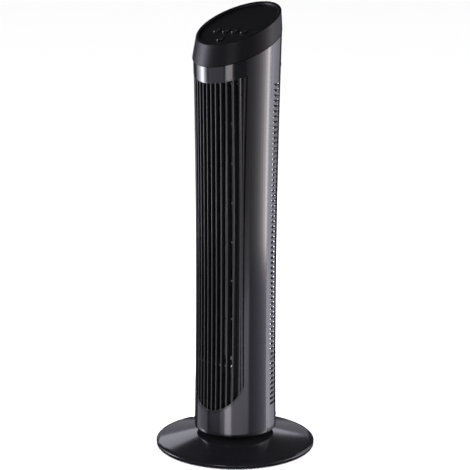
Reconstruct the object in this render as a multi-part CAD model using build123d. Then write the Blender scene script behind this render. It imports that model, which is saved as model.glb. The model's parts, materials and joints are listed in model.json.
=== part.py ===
"""Tower fan: a slim upright cross-flow fan on a round conical base.

Millimetres, +Z up. The origin is the centre of the base on the floor; the front (air outlet) faces -Y.
From the floor up: a conical base with a hollow pivot column, a swing drive that turns the tower on it,
the fan motor, a seven-segment cross-flow impeller behind a slatted outlet grille, and a slanted cap whose
recessed panel carries five push keys. Each separate piece is written to its own STEP file.
"""

import os
from math import asin, cos, degrees, hypot, radians, sin, tan

from build123d import *

# ---- driving dimensions ----------------------------------------------------------------------------------
# base
BASE_RADIUS = 134.0
BASE_RIM_TOP = 7.4
BASE_SLOPE = 0.237  # rise of the conical top per unit of radius
BASE_WALL = 2.6
BASE_UNDERSIDE = 1.2  # the rubber feet lift the base by this much
CROWN_RADIUS = 48.0  # flat crown at the top of the cone
NOTCH_WIDTH = 8.0  # cable notch in the rim
NOTCH_DEPTH = 7.0
NOTCH_TURN = -104.4  # place of the notch, anticlockwise from the front as seen from above
FOOT_COUNT = 6
FOOT_RING = 116.0
FOOT_RADIUS = 7.0
BASE_SCREW_RING = 98.0
BASE_PLATE = 2.4  # thickness of the underside plate
FLANGE_SCREW_RING = 34.0  # screws through the crown into the column's flange

# tower body: a waisted surface of revolution
BODY_BOTTOM = 31.0
BODY_HIGH = 712.0  # above the wall's slanted top everywhere
PROFILE_SPANS = 6  # spans of the smooth curve through the body's profile
WAIST_Z = 283.0
WAIST_RADIUS = 67.0
WAIST_CURVE = 3.13e-5  # radius grows with the square of the distance from the waist
BODY_WALL = 2.5
SEAM_Y = 2.0  # plane where the front and rear shells meet
SEAM_GAP = 0.3

# slanted cap
CAP_SLOPE = 0.485  # rise per unit of Y
CAP_SEAM_Z = 673.5  # height of the body-to-cap joint on the axis
CAP_GROOVE = 1.0
CAP_FOOT_RADIUS = 72.6
CAP_RIM_Z = 706.2  # height of the rim's plane on the axis, which puts its back edge 740 above the floor
CAP_RIM_RADIUS = 69.0
CAP_RIM_SHIFT = 3.0  # the rim sits this far behind the axis
CAP_ROUNDING = 2.0
CAP_LIP_RADIUS = 63.2
CAP_WALL = 4.0
CAP_LEDGE = 3.0  # width of the ledge the panel rests on
SPIGOT_DEPTH = 6.0  # the cap reaches this far down inside the shells
PANEL_RECESS = 4.5
PANEL_THICKNESS = 2.4

# outlet opening in the front shell, and its grille
OPENING_Y = -41.2  # the opening is cut in front of this plane
OPENING_ARC_Z = 124.0  # centre height of the rounded lower end
OPENING_ARC_RADIUS = 54.0
OPENING_HALF_WIDTH = 62.0  # clears the body's sides above the rounded lower end
OPENING_TOP_DROP = 24.2  # distance below the cap joint, measured straight down
SLAT_COUNT = 12
SLAT_PITCH = 8.7
SLAT_WIDTH = 1.9
SLAT_DEPTH = 9.0
GRILLE_INSET = 1.0
GRILLE_FRAME = 2.2
GRILLE_GAP = 0.4

# rear inlet louvres
LOUVRE_COUNT = 63
LOUVRE_PITCH = 8.57
LOUVRE_HEIGHT = 4.2
LOUVRE_BOTTOM = 79.0
LOUVRE_START_Y = 9.5
LOUVRE_RIBS = 5  # upright ribs left between the columns of slots
BODY_INSIDE = 55.0  # inside the wall everywhere
BODY_CLEAR = 80.0  # outside the wall everywhere
RIB_WIDTH = 3.0

# impeller
SPIN_Y = 4.0  # the impeller and motor axis sits this far behind the tower axis
IMPELLER_RADIUS = 43.0
IMPELLER_INNER = 31.0
HUB_DISC = 4.0
HUB_LENGTH = 24.0
HUB_RADIUS = 11.0
GRUB_HEIGHT = 12.0  # of the grub screw above the hub's underside
TOP_DISC = 3.0
TOP_PIN_RADIUS = 3.0
SEGMENT_COUNT = 7
SEGMENT_PITCH = 64.4
SEGMENT_TOP_RING = 547.6  # mid-height of the highest intermediate ring
RING_THICKNESS = 2.4
BLADE_COUNT = 28
BLADE_THICKNESS = 1.0
SHAFT_RADIUS = 4.0

# swing drive
SWING_LIMIT = 35.0  # degrees each way
CRANK_Y = 20.0  # drive axis behind the tower axis
CRANK_THROW = CRANK_Y * tan(radians(SWING_LIMIT))
CRANK_PIN_RADIUS = 3.0
COLUMN_RADIUS = 15.0
COLUMN_BORE = 9.0
COLUMN_TOP = 43.5
COLUMN_FLANGE_RADIUS = 42.0
YOKE_THICKNESS = 2.8
YOKE_SCREW_RING = 12.0
SWING_MOTOR_RADIUS = 21.0
SWING_EAR_X = 24.0  # the swing motor's fixing screws sit this far to each side
FLOOR_Z = 36.0
FLOOR_THICKNESS = 3.0
BULKHEAD_Z = 69.0
BULKHEAD_THICKNESS = 2.5
MOTOR_PLATE_Z = 148.0
TOP_PLATE_Z = 617.0
DUCT_PLATE = 2.6  # thickness of the plates at both ends of the air duct
DUCT_WALL = 1.6
DUCT_LOW = MOTOR_PLATE_Z + DUCT_PLATE
PLATE_FRONT_Y = -37.0
PLATE_FRONT_RADIUS = 54.5
TONGUE_SPANS = ((76.0, 142.0), (156.0, 612.0))  # heights of the shells' tongue, clear of the partitions

# keys
KEY_RADIUS = 6.5
KEY_STAND = 2.8  # how far a key stands out of the panel
KEY_PITCH = 18.8
KEY_ROW_Y = -18.5
KEY_FRONT_Y = -43.0
KEY_GAP = 0.3

FAR = 1600.0  # larger than anything in the part


# ---- helpers ---------------------------------------------------------------------------------------------
def body_radius(z):
    """Outer radius of the tower body at height z."""
    return WAIST_RADIUS + WAIST_CURVE * (z - WAIST_Z) ** 2


def tube(outer, inner, low, high, x=0.0, y=0.0):
    """Upright ring, or a disc where inner is 0."""
    shape = Cylinder(outer, high - low, align=(Align.CENTER, Align.CENTER, Align.MIN))
    if inner > 0:
        shape -= Cylinder(inner, high - low, align=(Align.CENTER, Align.CENTER, Align.MIN))
    return Pos(x, y, low) * shape


def block(x0, x1, y0, y1, z0, z1):
    """Box between two corners."""
    return Pos((x0 + x1) / 2, (y0 + y1) / 2, (z0 + z1) / 2) * Box(x1 - x0, y1 - y0, z1 - z0)


def body_skin(out, into, low=BODY_BOTTOM, high=BODY_HIGH):
    """Solid of revolution between two depths below the body's outer surface, cut off at two heights."""
    span = (BODY_HIGH - BODY_BOTTOM) / PROFILE_SPANS
    heights = [BODY_BOTTOM + span * i for i in range(PROFILE_SPANS + 1)]
    outer = Spline(*[(body_radius(z) - out, 0, z) for z in heights])
    inner = Spline(*[(body_radius(z) - into, 0, z) for z in heights])
    profile = make_face([outer, inner, Line(outer @ 0, inner @ 0), Line(outer @ 1, inner @ 1)])
    skin = revolve(profile, Axis.Z)
    return skin & block(-FAR, FAR, -FAR, FAR, low, high)


def slant_plane(z_on_axis, shift_y=0.0):
    """Plane of the cap's slope: origin shift_y behind the axis, +X to the right, normal up."""
    origin = (0, shift_y, z_on_axis + CAP_SLOPE * shift_y)
    return Plane(origin=origin, x_dir=(1, 0, 0), z_dir=(0, -CAP_SLOPE, 1))


def below_slant(z_on_axis):
    """Half-space block below the plane z = z_on_axis + CAP_SLOPE * y."""
    return slant_plane(z_on_axis) * Pos(0, 0, -FAR) * Box(2 * FAR, 2 * FAR, 2 * FAR)


def slant_oval(radius):
    """Ellipse that looks round, of the given radius, from above once it lies on the cap's slope."""
    return Ellipse(radius, radius * hypot(1.0, CAP_SLOPE))


def opening(gap):
    """Solid that cuts the outlet opening, shrunk by gap on every side."""
    profile = Pos(0, OPENING_ARC_Z) * Circle(OPENING_ARC_RADIUS - gap)
    profile += Pos(0, OPENING_ARC_Z + FAR / 2) * Rectangle(2 * OPENING_HALF_WIDTH, FAR)
    slab = extrude(Plane.XZ * profile, amount=BASE_RADIUS) & block(-FAR, FAR, -FAR, OPENING_Y - gap, 0, FAR)
    return slab & below_slant(CAP_SEAM_Z - OPENING_TOP_DROP - gap)


def plate(radius, low, thickness):
    """Horizontal partition of the tower, trimmed at the front to clear the grille."""
    full = tube(radius, 0, low, low + thickness) & block(-FAR, FAR, PLATE_FRONT_Y, FAR, 0, FAR)
    return full + tube(PLATE_FRONT_RADIUS, 0, low, low + thickness)


def wall_path(points, thickness, low, high):
    """Upright wall of even thickness along a smooth plan curve through three points."""
    path = ThreePointArc(*[(x, y) for x, y in points])
    return Pos(0, 0, low) * extrude(trace(path, thickness), amount=high - low)


def around(count, radius, start=0.0, x=0.0, y=0.0):
    """Points on a circle, evenly spaced."""
    turns = [radians(start + 360 * i / count) for i in range(count)]
    return [(x + radius * cos(turn), y + radius * sin(turn)) for turn in turns]


def screw(head_radius, head_height, shank_radius, length):
    """Pan-head screw pointing down, with its head's underside at the origin."""
    head = Cylinder(head_radius, head_height, align=(Align.CENTER, Align.CENTER, Align.MIN))
    drive = Box(head_radius * 1.1, 0.7, 0.8) + Box(0.7, head_radius * 1.1, 0.8)
    shank = Cylinder(shank_radius, length, align=(Align.CENTER, Align.CENTER, Align.MAX))
    return head - Pos(0, 0, head_height) * drive + shank


def group(shapes):
    """Several separate solids kept as one node."""
    return Compound(children=list(shapes))


# ---- base (stands still) ---------------------------------------------------------------------------------
def cone_top(radius):
    """Height of the base's conical top at a radius."""
    return BASE_RIM_TOP + (BASE_RADIUS - radius) * BASE_SLOPE


CROWN_Z = cone_top(CROWN_RADIUS)
NOTCH_SPOT = Rot(0, 0, NOTCH_TURN) * Pos(0, -BASE_RADIUS, 0)


def cable_notch():
    """Slot with a round inner end that lets the cable leave under the rim."""
    slot = block(-NOTCH_WIDTH / 2, NOTCH_WIDTH / 2, -20, NOTCH_DEPTH, -5, 20)
    return NOTCH_SPOT * (slot + tube(NOTCH_WIDTH / 2, 0, -5, 20, 0, NOTCH_DEPTH))


def base_cover():
    """Conical top shell with an upright rim and a flat crown; screw posts hang below it."""
    outer = [(0, CROWN_Z), (CROWN_RADIUS, CROWN_Z), (BASE_RADIUS - 1.2, cone_top(BASE_RADIUS - 1.2)),
             (BASE_RADIUS, BASE_RIM_TOP - 0.9), (BASE_RADIUS - 0.4, BASE_UNDERSIDE)]
    lower = BASE_WALL * hypot(1, BASE_SLOPE)
    rim = BASE_RADIUS - BASE_WALL
    inner = [(rim, BASE_UNDERSIDE), (rim, cone_top(BASE_RADIUS) - lower + 0.5),
             (CROWN_RADIUS, CROWN_Z - lower), (0, CROWN_Z - lower)]
    profile = make_face(Polyline(*[(r, 0, z) for r, z in outer + inner], close=True))
    shell = revolve(profile, Axis.Z) - tube(COLUMN_RADIUS + 4, 0, 0, 60)
    for x, y in around(4, BASE_SCREW_RING, 45):
        top = cone_top(BASE_SCREW_RING) - BASE_WALL
        shell += tube(3.6, 1.2, BASE_UNDERSIDE + 3.4, top, x, y)
    for x, y in around(4, FLANGE_SCREW_RING, 45):
        shell -= tube(1.9, 0, 0, 60, x, y)
    return shell - cable_notch()


def base_bottom_plate():
    """Flat underside plate inside the rim."""
    flat = tube(BASE_RADIUS - BASE_WALL - 0.4, 14, BASE_UNDERSIDE, BASE_UNDERSIDE + BASE_PLATE)
    for x, y in around(4, BASE_SCREW_RING, 45):
        flat -= tube(1.6, 0, 0, 10, x, y)
        flat -= tube(3.4, 0, 0, BASE_UNDERSIDE + 1.2, x, y)
    for ring in (60, 90):
        flat += tube(ring + 1, ring - 1, BASE_UNDERSIDE + BASE_PLATE, BASE_UNDERSIDE + 5.4)
    return flat - cable_notch()


def rubber_feet():
    """Round pads stuck under the plate."""
    return group(tube(FOOT_RADIUS, 0, 0, BASE_UNDERSIDE, x, y) for x, y in around(FOOT_COUNT, FOOT_RING, 0))


def base_screws():
    """Screws from below through the plate into the cover's posts."""
    shape = Rot(180, 0, 0) * screw(3.0, 1.0, 1.2, 9.0)
    return group(Pos(x, y, BASE_UNDERSIDE + 1.2) * shape for x, y in around(4, BASE_SCREW_RING, 45))


FLANGE_TOP = CROWN_Z - BASE_WALL * hypot(1, BASE_SLOPE)


def pivot_column():
    """Hollow post the tower turns on, with a flange under the base's crown; the cable rises inside it."""
    shape = tube(COLUMN_RADIUS, 0, FLANGE_TOP - 4, COLUMN_TOP)
    shape += tube(COLUMN_FLANGE_RADIUS, 0, FLANGE_TOP - 4, FLANGE_TOP)
    shape += tube(18, 0, BASE_UNDERSIDE + BASE_PLATE, FLANGE_TOP - 4)
    shape -= tube(COLUMN_BORE, 0, 0, 60)
    for x, y in around(4, FLANGE_SCREW_RING, 45):
        shape -= tube(1.2, 0, 0, 60, x, y)
    for x, y in around(2, YOKE_SCREW_RING, 0):
        shape -= tube(1.1, 0, COLUMN_TOP - 9, 60, x, y)
    return shape


def column_screws():
    """Screws through the crown into the column's flange."""
    return group(Pos(x, y, CROWN_Z) * screw(2.6, 0.9, 1.2, 6.0) for x, y in around(4, FLANGE_SCREW_RING, 45))


def thrust_washer():
    """Slippery ring that the tower's hub slides on, inside the ring of screw heads."""
    return tube(29.5, COLUMN_RADIUS + 0.4, CROWN_Z, CROWN_Z + 1.6)


def swing_yoke():
    """Arm fixed on the column: the crank pin works in its radial slot, its disc keeps the tower down."""
    low, high = COLUMN_TOP, COLUMN_TOP + YOKE_THICKNESS
    reach = CRANK_Y + CRANK_THROW
    near = CRANK_Y * cos(radians(SWING_LIMIT)) + CRANK_THROW * sin(radians(SWING_LIMIT))
    half = CRANK_PIN_RADIUS + 0.7
    shape = tube(21, 0, low, high) + block(-9, 9, 0, reach + 3, low, high)
    shape += tube(9, 0, low, high, 0, reach + 3)
    slot = block(-half, half, near - 1.5, reach + 1.5, 0, 60)
    slot += tube(half, 0, 0, 60, 0, near - 1.5) + tube(half, 0, 0, 60, 0, reach + 1.5)
    shape -= slot + tube(COLUMN_BORE, 0, 0, 60)
    for x, y in around(2, YOKE_SCREW_RING, 0):
        shape -= tube(1.5, 0, 0, 60, x, y)
    return shape


def yoke_screws():
    """Two screws that fix the yoke to the column."""
    shape = Pos(0, 0, COLUMN_TOP + YOKE_THICKNESS) * screw(2.2, 1.2, 1.1, 9.0)
    return group(Pos(x, y, 0) * shape for x, y in around(2, YOKE_SCREW_RING, 0))


# ---- tower (turns on the column) -------------------------------------------------------------------------
SHELL_SCREWS = [(angle, z) for z in (47.0, 640.0) for angle in (50.0, 130.0)]
TONGUE_INSIDE = BODY_WALL + 1.4


def body_wall():
    """Whole tower wall below the cap joint, before it is split into two shells."""
    return body_skin(0, BODY_WALL) & below_slant(CAP_SEAM_Z - CAP_GROOVE / 2)


def front_shell():
    """Front half of the tower wall, with the outlet opening and a tongue inside the rear shell."""
    shape = (body_wall() - opening(0)) & block(-FAR, FAR, -FAR, SEAM_Y - SEAM_GAP / 2, 0, FAR)
    for low, high in TONGUE_SPANS:
        for side in (-1, 1):
            near, far = sorted((side * BODY_INSIDE, side * BODY_CLEAR))
            root = body_skin(1.0, TONGUE_INSIDE, low, high)
            root &= block(near, far, SEAM_Y - 8, SEAM_Y - 2, 0, FAR)
            tip = body_skin(BODY_WALL + 0.15, TONGUE_INSIDE, low, high)
            tip &= block(near, far, SEAM_Y - 3, SEAM_Y + 3, 0, FAR)
            shape += root + tip
    return shape


def louvre_row():
    """One row of inlet slots round the back, at height zero, with upright ribs left between them."""
    row = tube(BODY_CLEAR, BODY_INSIDE, -LOUVRE_HEIGHT / 2, LOUVRE_HEIGHT / 2)
    row &= block(-FAR, FAR, LOUVRE_START_Y, FAR, -LOUVRE_HEIGHT, LOUVRE_HEIGHT)
    start = degrees(asin(LOUVRE_START_Y / WAIST_RADIUS))
    for i in range(LOUVRE_RIBS):
        turn = start + (180 - 2 * start) * (i + 1) / (LOUVRE_RIBS + 1)
        rib = block(0, BODY_CLEAR + 1, -RIB_WIDTH / 2, RIB_WIDTH / 2, -LOUVRE_HEIGHT, LOUVRE_HEIGHT)
        row -= Rot(0, 0, turn) * rib
    return row


def rear_shell():
    """Rear half of the tower wall, with rows of louvre slots between upright ribs."""
    shape = screw_pilots(body_wall() & block(-FAR, FAR, SEAM_Y + SEAM_GAP / 2, FAR, 0, FAR))
    row = louvre_row().solids()
    heights = [LOUVRE_BOTTOM + i * LOUVRE_PITCH for i in range(LOUVRE_COUNT)]
    return shape - [Pos(0, 0, z) * slot for z in heights for slot in row]


def front_grille():
    """Outlet grille: a thin frame that fills the opening, and upright slats."""
    depth = GRILLE_INSET + SLAT_DEPTH
    skin = body_skin(GRILLE_INSET, depth)
    outer = skin & opening(GRILLE_GAP)
    frame = outer - opening(GRILLE_GAP + GRILLE_FRAME)
    bars = []
    for i in range(SLAT_COUNT):
        x = (i - (SLAT_COUNT - 1) / 2) * SLAT_PITCH
        bars.append(outer & block(x - SLAT_WIDTH / 2, x + SLAT_WIDTH / 2, -FAR, 0, 0, FAR))
    return frame.fuse(*[s for b in bars for s in b.solids()])


def shell_screws():
    """Screws through the rear shell into the tower's floor and top frame."""
    made = []
    for turn, z in SHELL_SCREWS:
        seat = Pos(0, 0, z) * Rot(0, 0, turn) * Pos(body_radius(z), 0, 0) * Rot(0, 90, 0)
        made.append(seat * Pos(0, 0, 0.25) * screw(3.0, 1.3, 1.5, 7.6))
    return group(made)


def screw_pilots(shape):
    """Eight-sided holes for the shell screws, which bite into the flats."""
    hole = extrude(RegularPolygon(1.7, 8), amount=30)
    return shape - [Pos(0, 0, z) * Rot(0, 0, turn) * Pos(BODY_INSIDE, 0, 0) * Rot(0, 90, 0) * hole
                    for turn, z in SHELL_SCREWS]


LOOM_X, LOOM_Y, LOOM_RADIUS = -33.0, 46.0, 2.6
LOOM_HOLE = LOOM_RADIUS + 0.8


def tower_floor():
    """Turntable floor: a plate with a raised skirt for the shells and a hub that runs on the column."""
    low, high = FLOOR_Z, FLOOR_Z + FLOOR_THICKNESS
    shape = tube(65.8, 0, low, high) + tube(65.2, 62.0, high, 52)
    shape += tube(24, 0, CROWN_Z + 1.9, COLUMN_TOP - 0.4)
    for x, y in around(6, 42, 30):
        shape += Pos(x, y, 0) * block(-1, 1, -1, 1, high, high + 3)
    shape -= tube(COLUMN_RADIUS + 0.08, 0, 0, 100)
    return screw_pilots(shape)


def bulkhead_plate():
    """Partition between the swing drive and the fan motor."""
    shape = plate(65.4, BULKHEAD_Z, BULKHEAD_THICKNESS)
    shape -= tube(5, 0, 0, 100, 0, SPIN_Y) + tube(LOOM_HOLE, 0, 0, 100, LOOM_X, LOOM_Y)
    for x in (-1, 1):
        shape -= tube(1.3, 0, 0, 100, x * SWING_EAR_X, CRANK_Y)
    return shape


def swing_motor():
    """Flat synchronous gear motor with two fixing ears; its output shaft points down."""
    top = BULKHEAD_Z
    body = tube(SWING_MOTOR_RADIUS, 0, top - 14, top, 0, CRANK_Y)
    body -= tube(2.45, 0, top - 14, top - 6, 0, CRANK_Y)
    body += block(-28, 28, CRANK_Y - 4, CRANK_Y + 4, top - 1.5, top)
    for x in (-1, 1):
        body -= tube(1.3, 0, 0, 100, x * SWING_EAR_X, CRANK_Y)
    return body


def swing_motor_screws():
    """Two screws that hang the swing motor from the partition."""
    shape = Rot(180, 0, 0) * screw(2.4, 1.3, 1.2, 5.5)
    return group(Pos(x * SWING_EAR_X, CRANK_Y, BULKHEAD_Z - 1.5) * shape for x in (-1, 1))


CRANK_LOW, CRANK_HIGH = COLUMN_TOP + 6.0, COLUMN_TOP + 9.5


def swing_crank():
    """Disc on the swing motor's shaft with an offset pin that works in the yoke's slot."""
    disc = tube(CRANK_THROW + 5, 0, CRANK_LOW, CRANK_HIGH, 0, CRANK_Y)
    pin = tube(CRANK_PIN_RADIUS, 0, COLUMN_TOP + 0.3, CRANK_LOW, 0, CRANK_Y + CRANK_THROW)
    shaft = tube(2.4, 0, CRANK_HIGH, BULKHEAD_Z - 6.4, 0, CRANK_Y)
    return disc + pin + shaft


MOTOR_LOW, MOTOR_HIGH = 78.0, 145.6
MOTOR_RADIUS = 38.0
BOLT_HOLE = 1.7
BOLT_SPOTS = around(4, 33, 45, 0, SPIN_Y)
BUSH_RADIUS = 6.2
STACK_LOW, STACK_HIGH = 96.0, 126.0


def motor_plate():
    """Lower end of the air duct, which also carries the motor."""
    shape = plate(64.6, MOTOR_PLATE_Z, DUCT_PLATE)
    shape -= tube(9, 0, 0, 200, 0, SPIN_Y) + tube(LOOM_HOLE, 0, 0, 200, LOOM_X, LOOM_Y)
    for x, y in BOLT_SPOTS:
        shape -= tube(BOLT_HOLE, 0, 0, 200, x, y)
    return shape


def motor_stator():
    """Laminated stator ring with inward teeth."""
    ring = tube(MOTOR_RADIUS, 28, STACK_LOW, STACK_HIGH, 0, SPIN_Y)
    for i in range(8):
        tooth = block(20.6, 29, -3.2, 3.2, STACK_LOW, STACK_HIGH)
        ring += Pos(0, SPIN_Y, 0) * Rot(0, 0, i * 45) * tooth
    for x, y in BOLT_SPOTS:
        ring -= tube(BOLT_HOLE, 0, 0, 200, x, y)
    return ring


def motor_windings():
    """Two rings of copper winding heads, above and below the stator."""
    rings = []
    for low, high in ((STACK_LOW - 8.4, STACK_LOW), (STACK_HIGH, STACK_HIGH + 8.4)):
        rings.append(fillet(tube(28.6, 21, low, high, 0, SPIN_Y).edges().filter_by(GeomType.CIRCLE), 1.6))
    return group(rings)


def motor_end(low, high, inward):
    """Cup-shaped end shield of the motor with a bearing seat; inward is +1 where the cup opens upwards."""
    closed, open_z = (low, high) if inward > 0 else (high, low)
    cup = tube(MOTOR_RADIUS, 0, low, high, 0, SPIN_Y)
    floor = closed + inward * 2.4
    cup -= tube(35.6, 0, min(floor, open_z), max(floor, open_z), 0, SPIN_Y)
    seat = closed + inward * 8
    cup += tube(9, 0, min(closed, seat), max(closed, seat), 0, SPIN_Y)
    cup -= tube(BUSH_RADIUS, 0, low - 1, high + 1, 0, SPIN_Y)
    for x, y in BOLT_SPOTS:
        cup += tube(3.6, 0, low, high, x, y)
        cup -= tube(BOLT_HOLE, 0, low - 1, high + 1, x, y)
    for i in range(6):
        vent = tube(4, 0, closed - 3, closed + 3, 20, 0)
        cup -= Pos(0, SPIN_Y, 0) * Rot(0, 0, i * 60 + 15) * vent
    return cup


def motor_bushes():
    """Sintered bearing bushes in both end shields."""
    low = tube(BUSH_RADIUS, SHAFT_RADIUS + 0.05, MOTOR_LOW + 0.4, MOTOR_LOW + 8, 0, SPIN_Y)
    high = tube(BUSH_RADIUS, SHAFT_RADIUS + 0.05, MOTOR_HIGH - 8, MOTOR_HIGH - 0.4, 0, SPIN_Y)
    return group([low, high])


def motor_bolts():
    """Four long bolts, with their nuts, that clamp the motor to its plate."""
    top = DUCT_LOW
    bolt = screw(3.0, 1.6, 1.6, top - MOTOR_LOW + 2.4)
    nut = extrude(RegularPolygon(3.4, 6), amount=2.2) - Cylinder(1.6, 10)
    bolts = [Pos(x, y, top) * bolt for x, y in BOLT_SPOTS]
    return group(bolts + [Pos(x, y, MOTOR_LOW - 2.2) * nut for x, y in BOLT_SPOTS])


def spacer_sleeves():
    """Rubber sleeves between the motor and its plate."""
    return group(tube(4.2, BOLT_HOLE, MOTOR_HIGH, MOTOR_PLATE_Z, x, y) for x, y in BOLT_SPOTS)


def capacitor():
    """Run capacitor clipped to the partition beside the motor."""
    z = BULKHEAD_Z + BULKHEAD_THICKNESS
    body = block(-17, 17, 45.5, 58, z, z + 30)
    return fillet(body.edges().filter_by(Axis.Z), 2.5)


def wire_loom():
    """Sleeved loom from the key switch down to the motor, inside the rear shell."""
    path = FilletPolyline((-12, 12, 664), (LOOM_X, LOOM_Y, 642), (LOOM_X, LOOM_Y, 118),
                          (LOOM_X + 5, LOOM_Y - 9, 104), radius=8)
    start = path @ 0
    profile = Plane(origin=start, z_dir=path % 0) * Circle(LOOM_RADIUS)
    return sweep(profile, path=path)


def air_scroll():
    """Curved duct wall that wraps the left of the impeller."""
    return wall_path([(-49.5, -31.0), (-47.6, -8.0), (-45.4, 18.0)], DUCT_WALL, DUCT_LOW, TOP_PLATE_Z)


def air_tongue():
    """Short duct wall close to the right of the impeller, which splits outlet from inlet."""
    near = wall_path([(41.0, -26.0), (45.0, -12.0), (46.8, 6.0)], DUCT_WALL, DUCT_LOW, TOP_PLATE_Z)
    far = wall_path([(41.0, -26.0), (44.0, -29.6), (49.0, -31.2)], DUCT_WALL, DUCT_LOW, TOP_PLATE_Z)
    return near + far


def front_baffle():
    """Curved blank behind the lower end of the grille that hides the motor."""
    wall = body_skin(12.2, 13.8, 84.0, MOTOR_PLATE_Z)
    wall &= block(-47, 47, -FAR, -30, 0, FAR)
    return wall


def top_plate():
    """Upper end of the air duct with the seat for the top bearing and a skirt for the shells."""
    shape = plate(67.6, TOP_PLATE_Z, DUCT_PLATE)
    skirt = tube(67.4, 64.4, TOP_PLATE_Z + DUCT_PLATE, 646) & block(-FAR, FAR, 12, FAR, 0, FAR)
    shape += skirt + tube(13, 0, TOP_PLATE_Z, TOP_PLATE_Z + 10, 0, SPIN_Y)
    shape -= tube(9.6, 0, TOP_PLATE_Z - 1, TOP_PLATE_Z + 8, 0, SPIN_Y)
    shape -= tube(LOOM_HOLE, 0, 500, 700, LOOM_X, LOOM_Y)
    return screw_pilots(shape)


def bearing_rubber():
    """Rubber cup that cushions the top bearing."""
    return tube(9.6, 6.0, TOP_PLATE_Z + 0.2, TOP_PLATE_Z + 8, 0, SPIN_Y)


def top_bush():
    """Bearing bush at the top of the impeller."""
    return tube(6.0, TOP_PIN_RADIUS + 0.06, TOP_PLATE_Z + 0.8, TOP_PLATE_Z + 7.6, 0, SPIN_Y)


# ---- impeller (spins) ------------------------------------------------------------------------------------
IMPELLER_TOP = SEGMENT_TOP_RING + SEGMENT_PITCH - RING_THICKNESS / 2  # underside of the closing disc
IMPELLER_LOW = IMPELLER_TOP - SEGMENT_COUNT * SEGMENT_PITCH  # top of the hub disc


def blade_face():
    """Curved blade section at the right of the impeller, as a face in plan."""
    outer = (IMPELLER_RADIUS - 0.6, 0.0)
    inner = (IMPELLER_INNER, 5.0)
    middle = ((outer[0] + inner[0]) / 2 - 0.6, (outer[1] + inner[1]) / 2 - 2.2)
    return trace(ThreePointArc(outer, middle, inner), BLADE_THICKNESS)


def impeller_segment():
    """One segment standing on height zero: a ring with curved blades on it."""
    length = SEGMENT_PITCH - RING_THICKNESS + 0.2
    blade = Pos(0, 0, RING_THICKNESS - 0.2) * extrude(blade_face(), amount=length)
    blades = [Rot(0, 0, 360 * i / BLADE_COUNT) * blade for i in range(BLADE_COUNT)]
    ring = tube(IMPELLER_RADIUS, IMPELLER_INNER - 1, 0, RING_THICKNESS)
    return Pos(0, SPIN_Y, 0) * ring.fuse(*blades)


def impeller_segments():
    """The seven equal segments, lowest first, as (node name, shape)."""
    segment = impeller_segment()
    return [(f"impeller_segment_{i + 1}", Pos(0, 0, IMPELLER_LOW + i * SEGMENT_PITCH) * segment)
            for i in range(SEGMENT_COUNT)]


def impeller_hub():
    """End disc with the hub that grips the motor shaft."""
    low = IMPELLER_LOW - HUB_DISC
    shape = tube(IMPELLER_RADIUS, 0, low, IMPELLER_LOW, 0, SPIN_Y)
    shape += tube(HUB_RADIUS, 0, low, low + HUB_LENGTH, 0, SPIN_Y)
    shape -= tube(SHAFT_RADIUS, 0, low - 1, low + HUB_LENGTH - 6, 0, SPIN_Y)
    hole = Cylinder(1.6, 20, align=(Align.CENTER, Align.CENTER, Align.MIN))
    return shape - Pos(0, SPIN_Y, low + GRUB_HEIGHT) * Rot(0, 90, 0) * hole


def hub_grub_screw():
    """Grub screw that locks the hub to the shaft."""
    turned = Rot(0, 90, 0) * Cylinder(1.6, 5.6, align=(Align.CENTER, Align.CENTER, Align.MIN))
    return Pos(SHAFT_RADIUS, SPIN_Y, IMPELLER_LOW - HUB_DISC + GRUB_HEIGHT) * turned


def impeller_top_disc():
    """Closing disc of the impeller with its bearing pin."""
    shape = tube(IMPELLER_RADIUS, 0, IMPELLER_TOP, IMPELLER_TOP + TOP_DISC, 0, SPIN_Y)
    return shape + tube(TOP_PIN_RADIUS, 0, IMPELLER_TOP + TOP_DISC, TOP_PLATE_Z + 7.0, 0, SPIN_Y)


def motor_rotor():
    """Cage rotor."""
    return tube(19.9, SHAFT_RADIUS, STACK_LOW - 2, STACK_HIGH + 2, 0, SPIN_Y)


def motor_shaft():
    """Steel shaft of the motor, up into the impeller's hub."""
    return tube(SHAFT_RADIUS, 0, MOTOR_LOW - 3, IMPELLER_LOW - HUB_DISC + HUB_LENGTH - 7, 0, SPIN_Y)


# ---- cap and keys ----------------------------------------------------------------------------------------
RIM_PLANE = slant_plane(CAP_RIM_Z, CAP_RIM_SHIFT)


def well(radius, low, high):
    """Slanted prism centred on the rim, between two heights measured squarely from the rim's plane."""
    return RIM_PLANE * Pos(0, 0, low) * extrude(slant_oval(radius), amount=high - low)


def cap_housing():
    """Slanted collar with a rounded lip round the panel's recess, and a spigot inside the shells."""
    foot = slant_plane(CAP_SEAM_Z + CAP_GROOVE / 2)
    outer = loft([foot * slant_oval(CAP_FOOT_RADIUS), RIM_PLANE * slant_oval(CAP_RIM_RADIUS)])
    rim_face = outer.faces().sort_by(Axis(RIM_PLANE.origin, RIM_PLANE.z_dir))[-1]
    outer = fillet(rim_face.edges(), CAP_ROUNDING)
    ledge_top = -PANEL_RECESS - PANEL_THICKNESS
    inner = loft([foot * Pos(0, 0, -0.1) * slant_oval(CAP_FOOT_RADIUS - CAP_WALL),
                  RIM_PLANE * Pos(0, 0, ledge_top - 2) * slant_oval(CAP_RIM_RADIUS - CAP_WALL)])
    shape = outer - inner - well(CAP_LIP_RADIUS, ledge_top, 5) - well(CAP_LIP_RADIUS - CAP_LEDGE, -30, 5)
    spigot = body_skin(BODY_WALL + 0.3, BODY_WALL + 2.3) & below_slant(CAP_SEAM_Z + 4)
    return shape.fuse(*(spigot - below_slant(CAP_SEAM_Z - SPIGOT_DEPTH)).solids())


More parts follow.
